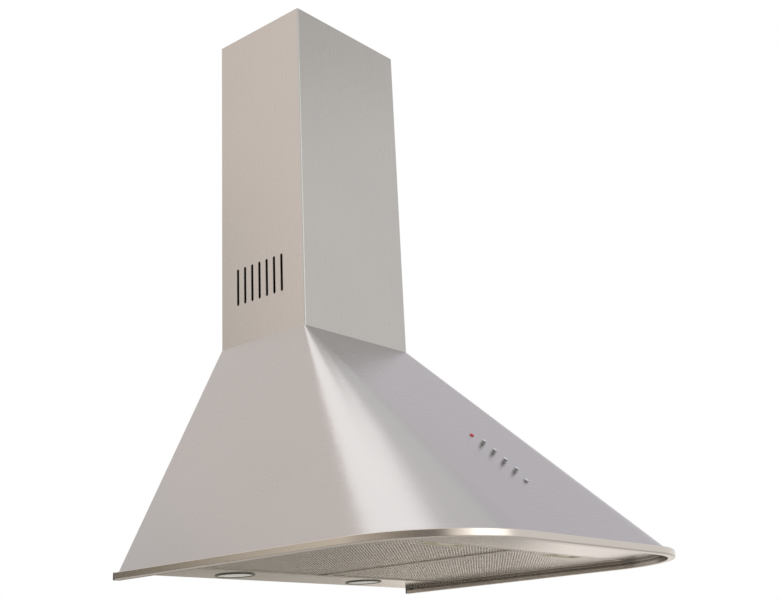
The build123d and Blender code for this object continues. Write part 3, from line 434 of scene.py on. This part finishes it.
def expanded_facing(side):
    """Fine expanded metal in a filter's frame: a lattice of diamonds made into strands."""
    low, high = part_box(f"filter_mesh_{side}")
    cup_low, cup_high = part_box(f"filter_grip_{side}")
    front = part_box(f"filter_frame_{side}")[0].y
    middle = (low + high) / 2
    half = (high - low) / 2
    flatness = DIAMOND_WIDTH / DIAMOND_LENGTH
    strand = DIAMOND_LENGTH / math.sqrt(2)
    reach = math.ceil(math.sqrt(2) * (half.x + half.y / flatness) / strand / 2) * 2
    deselect()
    bpy.ops.mesh.primitive_grid_add(x_subdivisions=reach, y_subdivisions=reach, size=reach * strand)
    facing = bpy.context.object
    knuckles = [round((point.co.x + point.co.y) / strand) % 2 for point in facing.data.vertices]
    facing.rotation_euler.z = math.radians(45)
    bpy.ops.object.transform_apply(rotation=True)
    facing.scale.y = flatness
    facing.location = middle
    bpy.ops.object.transform_apply(location=True, scale=True)
    bpy.ops.object.mode_set(mode="EDIT")
    bpy.ops.mesh.select_mode(type="VERT")
    bpy.ops.mesh.select_all(action="DESELECT")
    bpy.ops.object.mode_set(mode="OBJECT")
    for point, knuckle in zip(facing.data.vertices, knuckles):
        point.select = knuckle == 1
    bpy.ops.object.mode_set(mode="EDIT")
    bpy.ops.transform.translate(value=(0, 0, -STRAND_WAVE))
    for axis, place, outwards in (
        ("X", low, -1),
        ("X", high, 1),
        ("Y", low, -1),
        ("Y", high, 1),
    ):
        bpy.ops.mesh.select_all(action="SELECT")
        bpy.ops.mesh.bisect(plane_co=place, plane_no=AXES[axis] * outwards, clear_outer=True)
    for axis, place in (("X", cup_low), ("X", cup_high), ("Y", cup_low), ("Y", cup_high)):
        bpy.ops.mesh.select_all(action="SELECT")
        bpy.ops.mesh.bisect(plane_co=place, plane_no=AXES[axis])
    bpy.ops.mesh.select_all(action="DESELECT")
    bpy.ops.mesh.select_mode(type="FACE")
    bpy.ops.object.mode_set(mode="OBJECT")
    for face in facing.data.polygons:
        inside_x = cup_low.x < face.center.x < cup_high.x
        in_cup = inside_x and cup_low.y < face.center.y < cup_high.y
        beside = abs(face.center.x - middle.x) - DIAMOND_LENGTH / 2
        behind = face.center.y - front - DIAMOND_WIDTH / 2
        in_notch = beside < TONGUE_NOTCH / 2 and behind < LATCH_TRAVEL
        face.select = in_cup or in_notch
    bpy.ops.object.mode_set(mode="EDIT")
    bpy.ops.mesh.delete(type="FACE")
    bpy.ops.object.mode_set(mode="OBJECT")
    whole = WHOLE_DIAMOND * DIAMOND_LENGTH * DIAMOND_WIDTH / 2
    for face in facing.data.polygons:
        face.select = face.area > whole
    bpy.ops.object.mode_set(mode="EDIT")
    bpy.ops.mesh.inset(thickness=STRAND_WIDTH / 2, use_individual=True)
    bpy.ops.mesh.delete(type="FACE")
    bpy.ops.object.mode_set(mode="OBJECT")
    sheet = facing.modifiers.new("sheet", "SOLIDIFY")
    sheet.thickness = STRAND_HEIGHT
    sheet.offset = 0.0
    bpy.ops.object.modifier_apply(modifier=sheet.name)
    settle(
        facing,
        f"expanded_facing_{side}",
        f"filter_{side}",
        strands,
        [f"filter_mesh_{side}"],
    )


for side in ("left", "right"):
    expanded_facing(side)


# ---- lamps ---------------------------------------------------------------------------------


def ridged_lens(side):
    """Frosted lens with moulded rings on its lower face and a softened edge."""
    low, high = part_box(f"lamp_lens_{side}")
    middle = (low + high) / 2
    radius = (high.x - low.x) / 2
    step = radius / (LENS_RIDGES + 1)
    outline = [(radius, high.z), (radius, low.z + RIDGE_HEIGHT), (radius - RIDGE_HEIGHT, low.z)]
    for number in range(LENS_RIDGES):
        ring = radius - (number + 1) * step
        outline.append((ring + step * GROOVE_SHARE, low.z))
        outline.append((ring, low.z + RIDGE_HEIGHT))
        outline.append((ring - step * GROOVE_SHARE, low.z))
    lens = turned(outline, ROUND_SEGMENTS)
    lens.location = (middle.x, middle.y, 0)
    smooth(40)
    settle(lens, f"ridged_lens_{side}", "hood", lens_glass, [f"lamp_lens_{side}"])


for side in ("left", "right"):
    ridged_lens(side)


# ---- floor, light and camera ---------------------------------------------------------------

FLOOR_DROP = 0.55             # floor below the rim
FLOOR_SIZE = 300.0            # so large that its edge lies on the horizon
WALL_GAP = 0.6 * MM           # the dark card lies this far behind the wall plane
SHADE_MARGIN = 30 * MM        # and is this much narrower than the chimney
WORLD_AS_LIGHT = 0.72         # the world's strength where it only lights
floor_z = cad_low.z - FLOOR_DROP


def studio_paint(name, colour):
    """Plain matt paint for the floor."""
    material = bpy.data.materials.new(name)
    material.use_nodes = True
    shader = material.node_tree.nodes["Principled BSDF"]
    shader.inputs["Base Color"].default_value = (*colour, 1.0)
    shader.inputs["Roughness"].default_value = 0.9
    return material


def glow(name, tones):
    """Even or graded glow across a card, from (share of the width, colour) pairs."""
    material = bpy.data.materials.new(name)
    material.use_nodes = True
    tree = material.node_tree
    shader = tree.nodes["Principled BSDF"]
    shader.inputs["Base Color"].default_value = (0, 0, 0, 1)
    shader.inputs["Specular IOR Level"].default_value = 0.0
    shader.inputs["Emission Strength"].default_value = 1.0
    place = tree.nodes.new("ShaderNodeTexCoord").outputs["UV"]
    split = tree.nodes.new("ShaderNodeSeparateXYZ")
    ramp = tree.nodes.new("ShaderNodeValToRGB")
    tree.links.new(place, split.inputs["Vector"])
    tree.links.new(split.outputs["X"], ramp.inputs["Fac"])
    tree.links.new(ramp.outputs["Color"], shader.inputs["Emission Color"])
    stops = ramp.color_ramp.elements
    for stop, (share, colour) in zip(stops, tones):
        stop.position = share
        stop.color = (*colour, 1.0)
    for share, colour in tones[len(stops):]:
        stops.new(share).color = (*colour, 1.0)
    return material


def card(name, centre, aim, width, height, material):
    """A flat studio card that faces a point and that reflections alone see."""
    deselect()
    bpy.ops.mesh.primitive_plane_add(size=1.0)
    piece = bpy.context.object
    piece.name = name
    piece.data.name = name
    piece.scale = (width, height, 1)
    piece.rotation_euler = (Vector(aim) - Vector(centre)).to_track_quat("Z", "Y").to_euler()
    piece.location = centre
    bpy.ops.object.transform_apply(location=True, rotation=True, scale=True)
    piece.data.materials.append(material)
    piece.visible_camera = False
    piece.visible_diffuse = False
    piece.visible_shadow = False
    return piece


deselect()
bpy.ops.mesh.primitive_plane_add(size=FLOOR_SIZE, location=(0, -1.0, floor_z))
floor = bpy.context.object
floor.name = "studio_floor"
floor.data.materials.append(studio_paint("floor_paint", (0.86, 0.85, 0.83)))

# graded cards stand in for the room that the steel mirrors:
# name, centre, aim, width, height and (share from the left, colour) pairs
CARDS = (
    ("rim_card", (-1.9, 0.9, 0.05), (0, 0.9, 0.05), 5.0, 0.9, (
        (0.00, (0.30, 0.275, 0.24)),
        (0.11, (0.34, 0.31, 0.27)),
        (0.23, (0.54, 0.49, 0.43)),
        (0.40, (0.72, 0.67, 0.60)),
        (0.53, (0.96, 0.90, 0.81)),
        (0.62, (0.64, 0.61, 0.54)),
        (0.68, (0.39, 0.34, 0.27)),
        (0.73, (0.12, 0.11, 0.09)),
    )),
    ("low_card", (-1.9, 1.4, -0.60), (0, 1.4, -0.60), 3.8, 0.34, (
        (0.0, (0.09, 0.075, 0.06)),
        (1.0, (0.09, 0.075, 0.06)),
    )),
    ("corner_card", (-1.35, -2.0, 0.0), (0, -0.45, -0.1), 1.9, 0.44, (
        (0.00, (2.10, 2.04, 2.00)),
        (0.12, (1.52, 1.45, 1.38)),
        (0.32, (1.10, 1.04, 0.98)),
        (0.45, (0.40, 0.37, 0.325)),
        (0.55, (0.21, 0.19, 0.17)),
        (1.00, (0.19, 0.17, 0.145)),
    )),
    ("under_card_high", (1.38, 0.74, -0.2575), (0.32, -0.32, -0.2575), 2.2, 0.175, (
        (0.20, (0.50, 0.465, 0.41)),
        (0.32, (0.46, 0.43, 0.40)),
        (0.42, (0.55, 0.51, 0.47)),
        (0.50, (0.73, 0.68, 0.61)),
        (0.58, (0.78, 0.72, 0.66)),
        (0.70, (1.00, 0.94, 0.90)),
    )),
    ("under_card_middle", (1.38, 0.74, -0.38), (0.32, -0.32, -0.38), 2.2, 0.07, (
        (0.20, (0.50, 0.465, 0.41)),
        (0.36, (0.59, 0.54, 0.47)),
        (0.44, (1.30, 1.19, 1.05)),
        (0.55, (1.29, 1.20, 1.08)),
        (0.72, (1.00, 0.94, 0.90)),
    )),
    ("under_card_low", (1.38, 0.74, -0.5925), (0.32, -0.32, -0.5925), 2.2, 0.355, (
        (0.30, (0.22, 0.20, 0.17)),
        (0.48, (0.22, 0.20, 0.175)),
        (0.58, (0.27, 0.25, 0.23)),
        (0.65, (0.88, 0.82, 0.78)),
        (0.75, (0.94, 0.88, 0.84)),
    )),
    ("shine_card", (0.35, -3.05, 0.1), (0.35, 0.0, 0.1), 2.0, 0.5, (
        (0.00, (1.30, 1.24, 1.18)),
        (0.14, (2.00, 1.96, 1.92)),
        (0.32, (2.40, 2.42, 2.44)),
        (1.00, (2.40, 2.42, 2.44)),
    )),
    ("dark_card", (-2.05, -1.95, -0.5), (0.0, -0.4, -0.1), 2.3, 0.54, (
        (0.0, (0.04, 0.04, 0.045)),
        (1.0, (0.04, 0.04, 0.045)),
    )),
    ("duct_side_card", (-1.88, 1.7, 1.6), (-0.1, -0.1, 0.3), 1.9, 2.2, (
        (0.35, (1.26, 1.15, 1.07)),
        (0.60, (1.05, 0.97, 0.91)),
        (0.80, (0.55, 0.52, 0.49)),
    )),
    ("canopy_side_card", (-0.80, 1.35, 1.75), (-0.2, -0.25, 0.0), 1.3, 1.3, (
        (0.0, (1.08, 1.0, 0.95)),
        (1.0, (1.04, 0.97, 0.92)),
    )),
    ("duct_front_card", (1.5, -2.2, 2.75), (0.0, -0.2, 0.4), 2.2, 1.5, (
        (0.0, (0.74, 0.73, 0.72)),
        (1.0, (0.80, 0.79, 0.78)),
    )),
    ("canopy_front_card", (2.2, 0.7, 1.5), (0.1, -0.3, 0.0), 3.4, 2.0, (
        (0.0, (0.80, 0.77, 0.79)),
        (1.0, (0.80, 0.78, 0.84)),
    )),
)
for name, centre, aim, width, height, tones in CARDS:
    card(name, centre, aim, width, height, glow(name.replace("card", "glow"), tones))


def blackout():
    """Dark card in the wall's place behind the chimney, seen only from the front."""
    low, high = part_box("chimney_cover")
    shade_card = card(
        "wall_shade",
        ((low.x + high.x) / 2, WALL_GAP, (low.z + high.z) / 2),
        ((low.x + high.x) / 2, -1, (low.z + high.z) / 2),
        high.x - low.x - SHADE_MARGIN,
        high.z - low.z,
        bpy.data.materials.new("wall_shade"),
    )
    shade_card.visible_camera = True
    shade_card.visible_glossy = False
    material = shade_card.data.materials[0]
    material.use_nodes = True
    tree = material.node_tree
    shader = tree.nodes["Principled BSDF"]
    shader.inputs["Base Color"].default_value = (0.012, 0.010, 0.009, 1)
    shader.inputs["Roughness"].default_value = 1.0
    shader.inputs["Specular IOR Level"].default_value = 0.0
    clear = tree.nodes.new("ShaderNodeBsdfTransparent")
    mix = tree.nodes.new("ShaderNodeMixShader")
    back = tree.nodes.new("ShaderNodeNewGeometry").outputs["Backfacing"]
    tree.links.new(back, mix.inputs["Fac"])
    tree.links.new(shader.outputs["BSDF"], mix.inputs[1])
    tree.links.new(clear.outputs["BSDF"], mix.inputs[2])
    tree.links.new(mix.outputs["Shader"], tree.nodes["Material Output"].inputs["Surface"])


blackout()


def soft_light(name, place, aim, width, height, power):
    """Rectangular soft white light."""
    bpy.ops.object.light_add(type="AREA", location=place)
    lamp = bpy.context.object
    lamp.name = name
    lamp.data.shape = "RECTANGLE"
    lamp.data.size = width
    lamp.data.size_y = height
    lamp.data.energy = power
    lamp.rotation_euler = (Vector(aim) - Vector(place)).to_track_quat("-Z", "Y").to_euler()


soft_light("front_softbox", (0.0, -3.1, 0.7), (0.0, -0.4, 0.2), 1.4, 2.8, 12)
soft_light("top_softbox", (-0.42, 0.15, 2.1), (-0.2, -0.3, 0.0), 1.6, 1.6, 6.6)


def white_world():
    """Even white surroundings, dimmer as light than as background."""
    world = bpy.data.worlds.new("studio")
    bpy.context.scene.world = world
    world.use_nodes = True
    tree = world.node_tree
    path = tree.nodes.new("ShaderNodeLightPath")
    seen = path.outputs["Is Camera Ray"]
    for ray in ("Is Glossy Ray", "Is Transmission Ray"):
        either = tree.nodes.new("ShaderNodeMath")
        either.operation = "MAXIMUM"
        tree.links.new(seen, either.inputs[0])
        tree.links.new(path.outputs[ray], either.inputs[1])
        seen = either.outputs["Value"]
    strength = tree.nodes.new("ShaderNodeMapRange")
    strength.inputs["To Min"].default_value = WORLD_AS_LIGHT
    strength.inputs["To Max"].default_value = 1.0
    tree.links.new(seen, strength.inputs["Value"])
    tree.links.new(strength.outputs["Result"], tree.nodes["Background"].inputs["Strength"])
    tree.nodes["Background"].inputs["Color"].default_value = (1, 1, 1, 1)


white_world()

# the camera stands to the left below the hood and looks up at it
CAMERA_PLACE = (-1.2610, -1.2876, -0.3828)
CAMERA_BEARING = math.radians(50.23)     # from +Y towards +X
CAMERA_RISE = math.radians(18.26)
CAMERA_ROLL = math.radians(-2.76)
FOCAL_PIXELS = 1186.3
FRAME_PIXELS = 780
SENSOR_WIDTH = 36.0


def photo_camera():
    """Camera at the photograph's viewpoint, rolled and with its focal length."""
    gaze = Vector((
        math.sin(CAMERA_BEARING) * math.cos(CAMERA_RISE),
        math.cos(CAMERA_BEARING) * math.cos(CAMERA_RISE),
        math.sin(CAMERA_RISE),
    ))
    level = Vector((math.cos(CAMERA_BEARING), -math.sin(CAMERA_BEARING), 0))
    upward = level.cross(gaze)
    right = math.cos(CAMERA_ROLL) * level + math.sin(CAMERA_ROLL) * upward
    up = math.cos(CAMERA_ROLL) * upward - math.sin(CAMERA_ROLL) * level
    turn = Matrix((right, up, -gaze)).transposed()
    bpy.ops.object.camera_add(location=CAMERA_PLACE, rotation=turn.to_euler())
    camera = bpy.context.object
    camera.data.sensor_width = SENSOR_WIDTH
    camera.data.lens = FOCAL_PIXELS * SENSOR_WIDTH / FRAME_PIXELS
    camera.data.clip_start = 0.01
    bpy.context.scene.camera = camera


photo_camera()
bpy.context.scene.view_settings.view_transform = "Standard"
